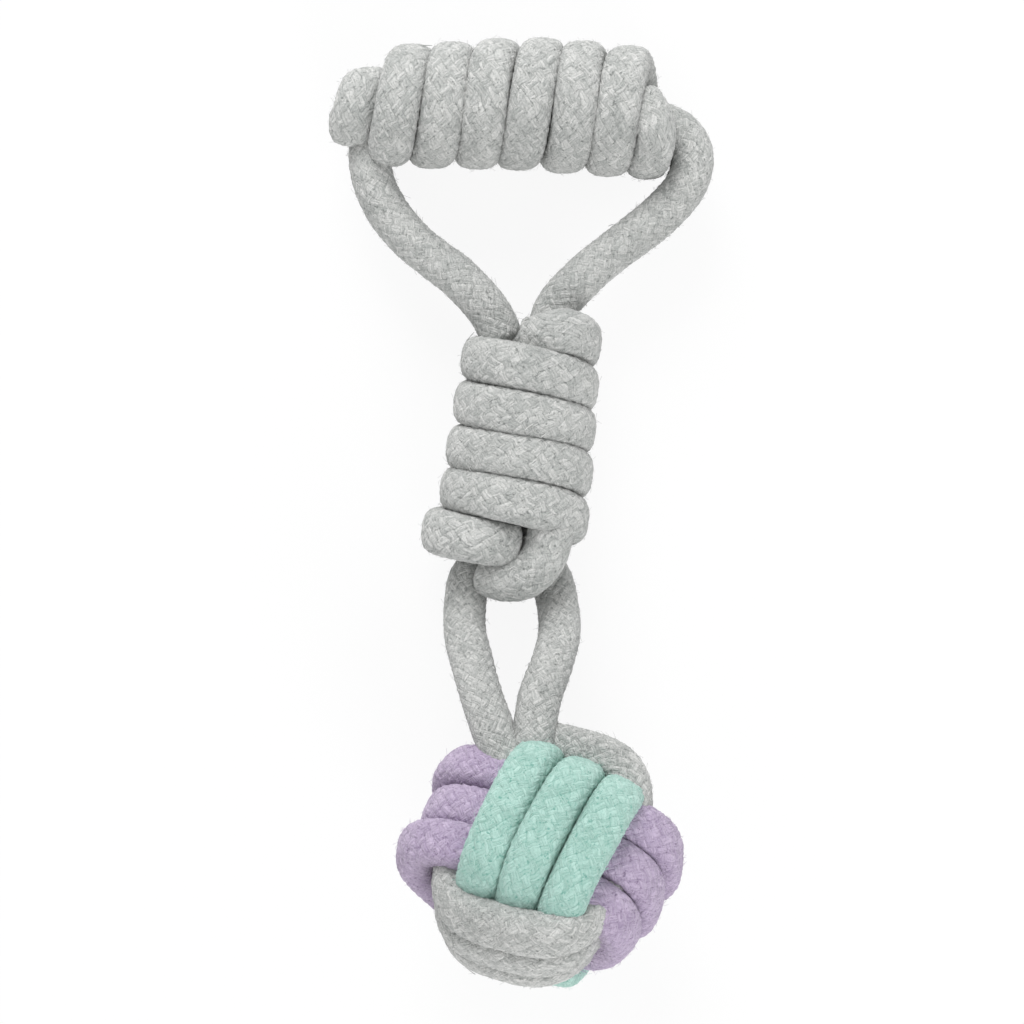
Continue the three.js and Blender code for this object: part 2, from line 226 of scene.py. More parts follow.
def new_group(name: str, source: str) -> tuple[Sums, NodeSocket]:
    """Makes an empty shader node group that takes one vector.

    Args:
        name: The group's name.
        source: The name of its input.

    Returns:
        What writes the group's nodes, and the vector.
    """
    group = bpy.data.node_groups.new(name, "ShaderNodeTree")
    group.interface.new_socket(source, in_out="INPUT", socket_type="NodeSocketVector")
    sums = Sums(group)
    return sums, sums.add("NodeGroupInput").outputs[source]


def put_out(sums: Sums, **values: NodeSocket) -> NodeTree:
    """Gives a group its outputs, which are all plain values.

    Args:
        sums: What wrote the group's nodes.
        values: The value of each output, by its name.

    Returns:
        The group.
    """
    for label in values:
        sums.tree.interface.new_socket(label, in_out="OUTPUT", socket_type="NodeSocketFloat")
    sums.fill(sums.add("NodeGroupOutput"), values)
    return sums.tree


def braid_group() -> NodeTree:
    """Makes the group that draws strands, yarns and fibres on a rope's braid map.

    Returns:
        A group that puts out Relief, Fibre and Strand, and the painted shade of the gaps between strands
        and the grooves between yarns.
    """
    sums, braid_map = new_group("rope_braid", "Map")
    around, along = sums.add("ShaderNodeSeparateXYZ", braid_map).outputs[:2]
    rising = sums.math("ADD", around, along)
    falling = sums.math("SUBTRACT", around, along)
    rising_lane = sums.math("FLOOR", rising)
    falling_lane = sums.math("FLOOR", falling)
    lanes = sums.math("ADD", rising_lane, falling_lane)
    under = sums.math("GREATER_THAN", sums.math("FLOORED_MODULO", lanes, 2.0), 0.5)
    across = sums.mix(under, sums.math("FRACT", rising), sums.math("FRACT", falling))
    share = sums.mix(under, sums.math("FRACT", falling), sums.math("FRACT", rising))
    run = sums.mix(under, falling, rising)
    lane = sums.mix(under, rising_lane, sums.math("ADD", falling_lane, FALLING_LANES))

    side = sums.math("MULTIPLY", sums.math("ABSOLUTE", sums.math("SUBTRACT", across, 0.5)), CROWN_SPREAD)
    crown = sums.math("SQRT", sums.math("SUBTRACT", 1.0, sums.math("POWER", side, CROWN_POWER)))
    arch = sums.math("POWER", sums.math("SINE", sums.math("MULTIPLY", share, math.pi)), DIP_POWER)
    height = sums.math("MULTIPLY", crown, sums.math("MULTIPLY_ADD", arch, 1.0 - DIP_LEVEL, DIP_LEVEL))

    stray = sums.noise(braid_map, scale=1.7)
    yarns = sums.math("MULTIPLY", sums.math("MULTIPLY_ADD", stray, YARN_STRAY, across), YARNS_PER_STRAND)
    yarn = sums.math("ABSOLUTE", sums.math("SINE", sums.math("MULTIPLY", yarns, math.pi)))
    streaks = (sums.math("MULTIPLY", way, rate) for way, rate in zip((across, run), STREAKS))
    reading = sums.vector(*streaks, lane)
    fibre = sums.noise(reading, scale=2.4, detail=4.0, roughness=0.75)

    # Painted shade, darkest deep in the gaps between strands and in the grooves between yarns, and stronger
    # in some patches.
    patchy = sums.noise(braid_map, scale=1.1, roughness=0.65)
    gap_shade_share = sums.mix(sums.ramp(patchy, *PATCH_STEP), *GAP_SHADE_SHARES)
    gap_shade = sums.math("MULTIPLY", sums.ramp(height, *GAP_SHADE_STEP), gap_shade_share)
    groove_shade_share = sums.mix(sums.ramp(patchy, *reversed(PATCH_STEP)), *GROOVE_SHADE_SHARES)
    groove_shade = sums.math("MULTIPLY", sums.ramp(yarn, *GROOVE_SHADE_STEP), groove_shade_share)
    single = sums.vector(
        sums.math("FLOOR", sums.math("MULTIPLY_ADD", lane, YARNS_PER_STRAND, yarns)),
        sums.math("FLOOR", sums.math("MULTIPLY", lanes, 0.5)), under,
    )
    tone = sums.add("ShaderNodeTexWhiteNoise", single, noise_dimensions="3D")
    relief = sums.math("MULTIPLY_ADD", yarn, YARN_RELIEF, sums.math("MULTIPLY", height, STRAND_RELIEF))
    return put_out(
        sums,
        Relief=sums.math("MULTIPLY_ADD", fibre, FIBRE_RELIEF, relief),
        Crease=sums.math("MAXIMUM", gap_shade, groove_shade),
        Fibre=fibre,
        Strand=tone.outputs["Value"],
    )


def heather_group() -> NodeTree:
    """Makes the group that mottles cotton with pale and dark flecks and paints shade into small pits.

    Returns:
        A group that puts out Fleck, Speck, Patch, and the painted shade of small pits.
    """
    sums, spot = new_group("cotton_heather", "Place")
    return put_out(
        sums,
        Fleck=sums.noise(spot, scale=1700.0),
        Speck=sums.ramp(sums.noise(spot, scale=560.0), low=0.60, high=0.74),
        # Painted shade in small pits, scattered at random.
        Pit=sums.ramp(sums.noise(spot, scale=820.0), low=0.44, high=0.30),
        Patch=sums.noise(spot, scale=90.0, roughness=0.6),
    )


def new_material(name: str) -> tuple[Material, Sums, Node, NodeSocket]:
    """Makes a material without much gloss.

    Args:
        name: The material's name.

    Returns:
        The material, what writes its nodes, its shader, and the place on the object.
    """
    material = bpy.data.materials.new(name)
    material.use_nodes = True
    sums = Sums(material.node_tree)
    shader = sums.tree.nodes["Principled BSDF"]
    sums.fill(shader, {"Specular IOR Level": COTTON_GLOSS})
    return material, sums, shader, sums.add("ShaderNodeTexCoord").outputs["Object"]


@dataclass(frozen=True)
class CottonFinish:
    """One colour of braided cotton."""

    name: str
    slot: Slot
    pale: Triple
    deep: Triple
    # The colour that painted shade darkens gaps, grooves and pits towards.
    crease_shade: Triple
    heather: float
    roughness: float = 0.94
    sheen: float = 0.25
    sheen_roughness: float = 0.6
    fibre_roughness: float = 0.9
    # How far painted shade goes towards that colour.
    crease_shade_share: float = 0.8
    speck_share: float = 0.35
    bump: float = 0.8
    bump_depth: float = 0.00035
    fleck_relief: float = 1.2
    tone_spread: float = 0.5

    def material(self, braid: NodeTree, heather: NodeTree) -> Material:
        """Makes the rope's material.

        Args:
            braid: The group that draws the braid.
            heather: The group that mottles the cotton.

        Returns:
            The material.
        """
        material, sums, shader, spot = new_material(self.name)
        rope_map = sums.add("ShaderNodeUVMap", uv_map=BRAID_MAP).outputs[0]
        weave = sums.add("ShaderNodeGroup", rope_map, node_tree=braid).outputs
        cotton = sums.add("ShaderNodeGroup", spot, node_tree=heather).outputs
        streak = sums.ramp(weave["Fibre"], low=0.28, high=0.72)
        fleck = sums.ramp(cotton["Fleck"], low=0.32, high=0.68)
        tone = sums.mix(self.heather, 0.5, sums.mix(0.5, streak, fleck))
        for shade in (cotton["Patch"], weave["Strand"]):
            change = sums.math("MULTIPLY_ADD", shade, self.tone_spread, -self.tone_spread / 2)
            tone = sums.math("ADD", tone, change)
        # Painted shade: gaps between strands, grooves between yarns and small pits are darkened towards the
        # crease colour.
        dark = sums.math("MAXIMUM", weave["Crease"], cotton["Pit"])
        colour = sums.mix(tone, (*self.deep, 1.0), (*self.pale, 1.0))
        colour = sums.mix(sums.math("MULTIPLY", dark, self.crease_shade_share), colour, (*self.crease_shade, 1.0))
        speck = sums.math("MULTIPLY", cotton["Speck"], self.speck_share * self.heather)
        raised = sums.math("MULTIPLY_ADD", cotton["Fleck"], self.fleck_relief, weave["Relief"])
        inputs = {"Strength": self.bump, "Distance": self.bump_depth, "Height": raised}
        sums.fill(shader, {
            "Base Color": sums.mix(speck, colour, (*self.pale, 1.0)),
            "Normal": sums.fill(sums.add("ShaderNodeBump"), inputs).outputs[0],
            "Roughness": self.roughness,
            "Sheen Weight": self.sheen,
            "Sheen Roughness": self.sheen_roughness,
        })
        return material

    def fibres(self) -> Material:
        """Makes the material of the rope's loose fibres, whose tone changes from fibre to fibre.

        Returns:
            The material.
        """
        material, sums, shader, spot = new_material(self.name + "_fibres")
        shade = sums.noise(spot, scale=300.0, detail=2.0, roughness=0.6)
        tone = sums.ramp(shade, low=0.35, high=0.65)
        colour = sums.mix(tone, (*self.deep, 1.0), (*self.pale, 1.0))
        sums.fill(shader, {"Base Color": colour, "Roughness": self.fibre_roughness})
        return material


# Rope


@dataclass
class RopePath:
    """A rope's route in millimetres: its middle, the way it faces, and how wide and deep it is pressed."""

    centres: Array
    outs: Array
    widths: Array
    depths: Array
    squareness: float

    def lengths(self) -> Array:
        """Gives the rope's length up to each point."""
        steps = np.linalg.norm(np.diff(self.centres, axis=0), axis=1)
        return np.concatenate(([0.0], np.cumsum(steps)))

    def at(self, where: Array) -> "RopePath":
        """Reads the route at given lengths.

        Args:
            where: Lengths along the rope.

        Returns:
            The route at those lengths.
        """
        table = np.column_stack((self.centres, self.outs, self.widths, self.depths))
        known = self.lengths()
        rows = np.stack([np.interp(where, known, column) for column in table.T], axis=1)
        return RopePath(rows[:, :3], rows[:, 3:6], rows[:, 6], rows[:, 7], self.squareness)

    def frame(self) -> tuple[Array, Array, Array]:
        """Works out the rope's own directions.

        Returns:
            The directions along, across and out at each point.
        """
        along = unit(np.gradient(self.centres, axis=0))
        out = unit(self.outs - along * np.sum(along * self.outs, axis=1, keepdims=True))
        return along, np.cross(out, along), out


def unit(vectors: Array) -> Array:
    """Scales vectors to length 1."""
    return vectors / np.linalg.norm(vectors, axis=-1, keepdims=True)


def powered(values: Array, power: float) -> Array:
    """Raises the size of values to a power and keeps their signs."""
    return np.sign(values) * np.abs(values) ** power


def smooth_step(values: Array | float, low: float, high: float) -> Array:
    """Steps smoothly from 0 at low to 1 at high."""
    share = np.clip((np.asarray(values, dtype=float) - low) / (high - low), 0.0, 1.0)
    return share * share * (3.0 - 2.0 * share)


def smooth_route(points: Route, steps: int = 24) -> Array:
    """Runs a smooth curve through points.

    Args:
        points: The points, in millimetres.
        steps: How many steps each span gets.

    Returns:
        The curve's points.
    """
    knots = np.array(points, dtype=float)
    knots = np.vstack((2 * knots[0] - knots[1], knots, 2 * knots[-1] - knots[-2]))
    share = np.linspace(0.0, 1.0, steps, endpoint=False)[:, None]
    spans = []
    for a, b, c, d in zip(knots[:-3], knots[1:-2], knots[2:-1], knots[3:]):
        bend = 2 * a - 5 * b + 4 * c - d
        spans.append(0.5 * (2 * b + (c - a) * share + bend * share**2 + (3 * b - a - 3 * c + d) * share**3))
    return np.vstack((*spans, knots[-2:-1]))


def wound_path(centres: Array, outs: Array, width: Array | float, depth: float) -> RopePath:
    """Lays a rope along its centres, facing the outs, that its neighbours press to a width and depth."""
    full = np.ones(len(centres))
    return RopePath(centres, outs, full * width, full * depth, PRESSED)


def free_path(points: Route, diameter: float) -> RopePath:
    """Lays a round rope along points.

    Args:
        points: The points, in millimetres.
        diameter: The rope's diameter.

    Returns:
        The route, facing up.
    """
    centres = smooth_route(points)
    full = np.full(len(centres), diameter)
    return RopePath(centres, np.tile(UP, (len(centres), 1)), full, full, ROUND)


def outline(squareness: float, columns: int) -> tuple[Array, Array]:
    """Spaces points evenly round a rope's section, which is round or pressed squarish.

    Args:
        squareness: 2 for a circle, more for a flatter side.
        columns: How many points it gets.

    Returns:
        The points' places across and out, from -1 to 1. The last point is the first one again.
    """
    turn = np.linspace(0.0, FULL_TURN, OUTLINE_STEPS * columns + 1)
    wide, deep = powered(np.cos(turn), 2.0 / squareness), powered(np.sin(turn), 2.0 / squareness)
    way = np.concatenate(([0.0], np.cumsum(np.hypot(np.diff(wide), np.diff(deep)))))
    even = np.linspace(0.0, way[-1], columns + 1)
    return np.interp(even, way, wide), np.interp(even, way, deep)


def sway(lengths: Array, seed: int, waves: tuple[float, ...]) -> Array:
    """Makes a slow unevenness along a rope.

    Args:
        lengths: Lengths along the rope.
        seed: What makes this rope differ from others.
        waves: The wave lengths that are added up.

    Returns:
        Values between about -1 and 1.
    """
    draw = np.random.default_rng(seed)
    total = np.zeros_like(lengths)
    for wave in waves:
        total += np.sin(FULL_TURN * lengths / wave + draw.uniform(0.0, FULL_TURN))
    return total / len(waves)


@dataclass
class Surface:
    """A rope's skin by ring and column, in millimetres, with each point's place on the braid."""

    points: Array
    normals: Array
    along: Array
    places: Array


@dataclass(frozen=True)
class Seam:
    """How a part of a rope goes on from another part, and which of its two ends are rounded off."""

    seed: int
    start: float = 0.0
    closed: tuple[bool, bool] = (True, True)


@dataclass(frozen=True)
class Weave:
    """How the ropes are braided, and how finely the braid is cut into faces."""

    strands: int = 12
    lay: float = 3.0
    columns: int = 84
    rings_per_lay: int = 6
    height: float = 0.36
    swell: float = 0.02
    rough: float = 0.05
    end_rings: int = 7
    end_start: float = 0.6
    drift: float = 0.11
    level: float = 0.75
    swell_waves: Triple = (37.0, 23.0, 61.0)
    drift_waves: tuple[tuple[int, float], ...] = ((1, 4.3), (2, 2.3), (3, 1.7), (-2, 3.1), (4, 1.3))
    floor_give: float = 0.8

    def step(self) -> float:
        """Gives the distance between rings."""
        return self.lay / self.rings_per_lay

    def uneven(self, around: Array, along: Array, seed: int) -> tuple[Array, Array]:
        """Makes the strands drift, as they do in a real braid.

        Args:
            around: The place around the rope, in strands.
            along: The place along the rope, in lays.
            seed: What makes this rope differ from others.

        Returns:
            Both places with the drift added.
        """
        draw = np.random.default_rng(seed)
        moved = []
        for place in (around, along):
            shift = np.zeros(np.broadcast(around, along).shape)
            for turns, wave in self.drift_waves:
                angle = FULL_TURN * (turns * around / self.strands + along / wave)
                shift = shift + np.sin(angle + draw.uniform(0.0, FULL_TURN))
            moved.append(place + self.drift * shift / 2.0)
        return moved[0], moved[1]

    def relief(self, around: Array, along: Array) -> Array:
        """Works out how far the braid stands out.

        Args:
            around: The place around the rope, in strands.
            along: The place along the rope, in lays.

        Returns:
            A height from 0 in the creases to 1 on a strand's crown, where it crosses over another.
        """
        rising, falling = around + along, around - along
        over = np.mod(np.floor(rising) + np.floor(falling), 2.0) < 0.5
        rise, fall = np.mod(rising, 1.0), np.mod(falling, 1.0)
        across = np.where(over, rise, fall)
        share = np.where(over, fall, rise)
        crown = np.sqrt(1.0 - np.abs(CROWN_SPREAD * (across - 0.5)) ** CROWN_POWER)
        return crown * (DIP_LEVEL + (1.0 - DIP_LEVEL) * np.sin(share * math.pi) ** DIP_POWER)

    def skin(self, path: RopePath, seam: Seam) -> Surface:
        """Works out the braided skin of a rope.

        Args:
            path: The rope's route.
            seam: How it goes on from the rest of its rope. Its seed makes the rope differ from others.

        Returns:
            The skin.
        """
        rings = int(path.lengths()[-1] / self.step()) + 1
        lengths = np.arange(rings) * self.step()
        route = path.at(lengths)
        along, across, out = route.frame()
        wide, deep = outline(path.squareness, self.columns)
        half_width, half_depth = route.widths[:, None] / 2, route.depths[:, None] / 2
        normal_wide = powered(wide, path.squareness - 1.0) / half_width
        normal_deep = powered(deep, path.squareness - 1.0) / half_depth
        size = np.sqrt(normal_wide**2 + normal_deep**2)
        normal_wide, normal_deep = normal_wide / size, normal_deep / size
        around = self.strands * np.arange(self.columns + 1) / self.columns
        around, laid = self.uneven(around[None, :], (seam.start + lengths)[:, None] / self.lay, seam.seed)
        relief = self.relief(around, laid)
        swell = 1.0 + self.swell * sway(seam.start + lengths, seam.seed, self.swell_waves)[:, None]
        rough = np.random.default_rng(seam.seed).normal(0.0, self.rough, relief.shape)
        lift = self.height * (relief - self.level) + rough
        inset = np.ones(rings)
        count = min(self.end_rings, rings // 3)
        ease = np.sqrt(1.0 - (1.0 - (np.arange(count) + self.end_start) / count) ** 2)
        if seam.closed[0]:
            inset[:count] = ease
        if seam.closed[1]:
            inset[rings - count:] = ease[::-1]
        reach_wide = (half_width * swell * wide + lift * normal_wide) * inset[:, None]
        reach_deep = (half_depth * swell * deep + lift * normal_deep) * inset[:, None]
        points, normals = (
            sideways[:, :, None] * across[:, None, :] + outward[:, :, None] * out[:, None, :]
            for sideways, outward in ((reach_wide, reach_deep), (normal_wide, normal_deep))
        )
        points = points + route.centres[:, None, :]
        points[:, -1] = points[:, 0]
        points[:, :, 2] = (points[:, :, 2] + np.hypot(points[:, :, 2], self.floor_give)) / 2
        return Surface(points, normals, along, np.stack((around, laid), axis=2))


def tube(name: str, surface: Surface, material: Material) -> Object:
    """Wraps a grid round a rope's skin and closes it.

    Args:
        name: The rope's name.
        surface: Its skin.
        material: Its finish.

    Returns:
        The rope.
    """
    points = surface.points
    rings, columns = points.shape[0], points.shape[1] - 1
    shape = bmesh.new()
    shape.loops.layers.uv.new(BRAID_MAP)
    bmesh.ops.create_grid(shape, x_segments=columns, y_segments=rings - 1, size=0.5)
    mesh = bpy.data.meshes.new(name)
    shape.to_mesh(mesh)
    flat = np.empty(len(mesh.vertices) * 3)
    mesh.vertices.foreach_get("co", flat)
    flat = flat.reshape(-1, 3)
    column = np.rint((flat[:, 0] + 0.5) * columns).astype(int)
    ring = np.rint((flat[:, 1] + 0.5) * (rings - 1)).astype(int)
    mesh.vertices.foreach_set("co", (points[ring, column] * MM).ravel())
    corners = np.empty(len(mesh.loops), dtype=np.int32)
    mesh.loops.foreach_get("vertex_index", corners)
    places = surface.places[ring[corners], column[corners]]
    mesh.uv_layers[BRAID_MAP].data.foreach_set("uv", places.ravel())
    shape.clear()
    shape.from_mesh(mesh)
    shape.verts.ensure_lookup_table()
    seam = [shape.verts[i] for i in np.flatnonzero((column == 0) | (column == columns))]
    bmesh.ops.remove_doubles(shape, verts=seam, dist=TINY)
    ends = [edge for edge in shape.edges if edge.is_boundary]
    bmesh.ops.holes_fill(shape, edges=ends, sides=0)
    for edge in ends:
        edge.smooth = False
    bmesh.ops.recalc_face_normals(shape, faces=shape.faces[:])
    return solid(name, shape, mesh, material)


def solid(name: str, shape: bmesh.types.BMesh, mesh: bpy.types.Mesh, material: Material) -> Object:
    """Puts a finished shape into the scene as a smooth piece.

    Args:
        name: The piece's name.
        shape: Its shape, which is freed.
        mesh: The mesh that takes the shape.
        material: Its finish.

    Returns:
        The piece.
    """
    shape.to_mesh(mesh)
    shape.free()
    mesh.polygons.foreach_set("use_smooth", np.ones(len(mesh.polygons), dtype=bool))
    mesh.update()
    mesh.materials.append(material)
    log.info("%s: %d faces", name, len(mesh.polygons))
    return place(name, mesh)


@dataclass(frozen=True)
class FibreMaker:
    """Grows loose fibres out of a rope's skin. The points along a fibre are shares of its length."""

    thickness: float
    reach: Pair
    stand: Pair
    per_square_mm: float
    curl: Pair = (-0.7, 0.3)
    bend: float = 0.35
    points: tuple[float, ...] = (-0.1, 0.3, 0.65, 1.0)
    end_rings: int = 6

    def grow(self, name: str, surface: Surface, material: Material, seed: int) -> Object:
        """Makes the fibres of one rope as one mesh.

        Args:
            name: The piece's name.
            surface: The rope's skin.
            material: The fibres' finish.
            seed: What makes these fibres differ from others.

        Returns:
            The piece.
        """
        draw = np.random.default_rng(seed)
        rings, columns = surface.points.shape[:2]
        ring_gap = np.linalg.norm(surface.points[1:, 0] - surface.points[:-1, 0], axis=1).mean()
        column_gap = np.linalg.norm(surface.points[:, 1] - surface.points[:, 0], axis=1).mean()
        count = int(rings * columns * ring_gap * column_gap * self.per_square_mm)
        lines = bpy.data.curves.new(name, "CURVE")
        lines.dimensions = "3D"
        lines.bevel_depth = self.thickness * MM / 2
        lines.bevel_resolution = 0
        lines.use_fill_caps = True
        picks_ring = draw.integers(self.end_rings, rings - self.end_rings, count)
        picks_column = draw.integers(0, columns - 1, count)
        for ring, column in zip(picks_ring, picks_column):
            root = surface.points[ring, column]
            if root[2] < self.reach[1]:
                continue
            up = surface.normals[ring, column]
            along = surface.along[ring]
            lean = along * draw.normal(0.0, 1.0) + np.cross(up, along) * draw.normal(0.0, 1.0)
            lean = lean / max(np.linalg.norm(lean), TINY)
            length = draw.uniform(*self.reach)
            stand = draw.uniform(*self.stand)
            curl = draw.uniform(*self.curl)
            side = np.cross(up, lean) * draw.normal(0.0, self.bend)
            spline = lines.splines.new("POLY")
            spline.points.add(len(self.points) - 1)
            for point, share in zip(spline.points, self.points):
                rise = stand * share + curl * stand * share * share
                spot = root + length * (lean * share + up * rise + side * share * share)
                point.co = (*(spot * MM), 1.0)
        loose = place(name + "_lines", lines)
        mesh = bpy.data.meshes.new_from_object(loose.evaluated_get(bpy.context.evaluated_depsgraph_get()))
        mesh.name = name
        bpy.data.objects.remove(loose)
        bpy.data.curves.remove(lines)
        mesh.materials.clear()
        mesh.materials.append(material)
        log.info("%s: %d fibres", name, count)
        return place(name, mesh)


@dataclass(frozen=True)
class Rider:
    """A piece that moves with one body."""

    body: Body

    def tie(self, piece: Object) -> None:
        """Makes the piece ride."""
        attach(piece, self.body.value)


@dataclass(frozen=True)
class Bend:
    """A piece between two bodies, with a bend at one height from one place along Y to another, which is not
    made: the piece is fixed where it lies.
    """

    first: Body
    second: Body
    start: float
    end: float
    height: float

    def tie(self, piece: Object) -> None:
        """Fixes the piece where it lies by baking its placement into its mesh."""
        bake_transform(piece)


class Workshop:
    """Holds the finishes and makes dressed pieces that follow their bodies."""

    def __init__(
        self, finishes: tuple[CottonFinish, ...], weave: Weave, loose: dict[str, FibreMaker]
    ) -> None:
        """Builds the materials.

        Args:
            finishes: The cotton finishes in use.
            weave: The braid of the ropes.
            loose: The makers of loose fibres, by the names of what they make.
        """
        braid, heather = braid_group(), heather_group()
        self.cotton = {finish.slot: finish.material(braid, heather) for finish in finishes}
        self.fuzz = {finish.slot: finish.fibres() for finish in finishes}
        self.weave = weave
        self.loose = loose
        self.made = 0

    def lay(
        self,
        name: str,
        path: RopePath,
        slot: Slot,
        follows: Rider | Bend,
        node: str,
        seam: Seam | None = None,
        fuzzy: bool = True,
    ) -> Object:
        """Makes a rope with its fibres, and ties both to the body that they ride on or fixes them where
        they lie.

        Args:
            name: The rope's name.
            path: Its route.
            slot: Its material slot.
            follows: The body that it rides on, or the two bodies that it lies between.
            node: The CAD node that it stands for.
            seam: Where it joins the rest of its rope, if it is only a part.
            fuzzy: Whether it has loose fibres.

        Returns:
            The rope.
        """
        self.made += 1
        surface = self.weave.skin(path, seam or Seam(self.made))
        piece = tube(name, surface, self.cotton[slot])
        follows.tie(piece)
        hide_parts(node)
        for kind, maker in self.loose.items() if fuzzy else ():
            fuzz = maker.grow(f"{name}_{kind}", surface, self.fuzz[slot], FIBRE_SEED + self.made)
            follows.tie(fuzz)
        return piece


# The toy


@dataclass
class Handle:
    """The hand grip: a rope wound along X over its core."""

    centre: Triple = (2.75, 111.2, 16.5)
    turns: int = 7
    pitch: float = 11.9
    radius: float = 12.5
    end_radius: float = 11.3
    thickest: float = 2.25
    depth: float = 11.5
    width: float = 12.35
    start: float = 0.16
    tuck: float = 6.0
    curl_radius: float = 4.6
    curl_turns: float = 0.3
    curl_pitch: float = 0.97
    first_front: float = 0.25
    arch_left: float = 0.9
    arch_right: float = 3.0
    arch_power: float = 1.1
    overhang: float = 1.4
    uneven: float = 0.4
    uneven_rate: float = 1.37
    hidden_turns: float = 0.2
    slim: float = 1.6
    slim_turns: Pair = (0.3, 0.95)
    steps: int = 1600
    core_width: float = 8.0
    core_points: Route = ((-30.0, -1.5, 0.0), (0.0, 0.0, 0.0), (34.0, -4.0, 0.0))

    def last_front(self) -> float:
        """Gives the turn at which the last strand is in front."""
        return self.first_front + self.turns - 1

    def turn_radius(self, turn: Array) -> Array:
        """Gives the winding's radius at a turn.

        Args:
            turn: Places along the winding, in turns.

        Returns:
            The radius of the rope's middle.
        """
        half = (self.turns - 1) / 2
        share = np.minimum(np.abs(turn - self.thickest) / half, 1.0)
        barrel = self.radius - (self.radius - self.end_radius) * share**2
        curl = smooth_step(turn, self.last_front(), self.last_front() + 1)
        return barrel + (self.curl_radius - barrel) * curl

    def arch(self, x: Array) -> Array:
        """Gives how far the grip sags at its ends, as a wound rope does.

        Args:
            x: Places along the grip, from its middle.

        Returns:
            The shift along Y.
        """
        reach = self.pitch * (self.turns - 1) / 2
        right = self.arch_right * np.clip(x / reach, 0.0, self.overhang) ** self.arch_power
        left = self.arch_left * np.clip(-x / reach, 0.0, self.overhang) ** 2
        return -right - left

    def winding(self) -> RopePath:
        """Winds the grip's rope, which starts tucked in and ends in a curl.

        Returns:
            The rope's route.
        """
        last = self.last_front()
        half = (self.turns - 1) / 2
        turn = np.linspace(self.start, last + 1 + self.curl_turns, self.steps)
        angle = FULL_TURN * turn
        outs = np.stack((np.zeros_like(turn), np.cos(angle), np.sin(angle)), axis=1)
        wound = np.minimum(turn, last) + self.curl_pitch * np.maximum(turn - last, 0.0)
        hidden = 1.0 - smooth_step(turn, self.start, self.start + self.hidden_turns)
        centres = np.array(self.centre) + outs * (self.turn_radius(turn) - self.tuck * hidden)[:, None]
        along = self.pitch * (half - (wound - self.first_front)) - self.tuck * hidden
        slim = self.slim * (1.0 - smooth_step(turn, *self.slim_turns))
        along = along + self.uneven * np.sin(self.uneven_rate * angle) - slim / 2
        centres[:, 0] += along
        centres[:, 1] += self.arch(along)
        return wound_path(centres, outs, self.width - slim, self.depth)

    def core(self) -> RopePath:
        """Gives the route of the core inside the winding."""
        return free_path(tuple(np.add(self.centre, self.core_points)), self.core_width)

    def build(self, shop: Workshop) -> None:
        """Makes the grip's pieces.

        Args:
            shop: What makes the ropes.
        """
        rider = Rider(Body.HANDLE)
        shop.lay("grip_winding", self.winding(), Slot.GREY, rider, "handle_winding")
        shop.lay("grip_core", self.core(), Slot.GREY, rider, "handle_core", fuzzy=False)


@dataclass
class UpperLegs:
    """The two rope legs between the grip and the knot, which bend where they leave the knot."""

    bend: Bend = Bend(Body.KNOT, Body.HANDLE, 55.0, 72.2, 16.875)
    left: Route = (
        (-40.0, 107.0, 11.0), (-41.2, 101.0, 13.6), (-41.1, 94.4, 15.8), (-39.5, 88.0, 16.6),
        (-35.8, 81.0, 16.875), (-29.9, 74.0, 16.875), (-23.3, 68.6, 16.875), (-16.8, 63.6, 16.875),
        (-8.6, 54.4, 17.25), (-4.2, 45.0, 17.25),
    )
    right: Route = (
        (31.0, 107.6, 15.4), (38.0, 106.2, 14.8), (43.4, 103.6, 14.6), (46.4, 99.0, 15.4),
        (46.6, 94.2, 16.4), (45.0, 89.2, 16.875), (42.0, 85.0, 16.875), (36.4, 79.5, 16.875),
        (29.3, 74.0, 16.875), (21.8, 68.2, 16.875), (16.6, 63.6, 16.875), (9.4, 55.4, 16.25),
        (6.6, 45.0, 16.9),
    )

    def build(self, shop: Workshop) -> None:
        """Args:
            shop: What makes the ropes.
        """
        for side, points in (("left", self.left), ("right", self.right)):
            path = free_path(points, ROPE)
            piece = shop.lay(f"upper_rope_{side}", path, Slot.GREY, self.bend, f"upper_leg_{side}")
            float(path.lengths()[-1]) * MM


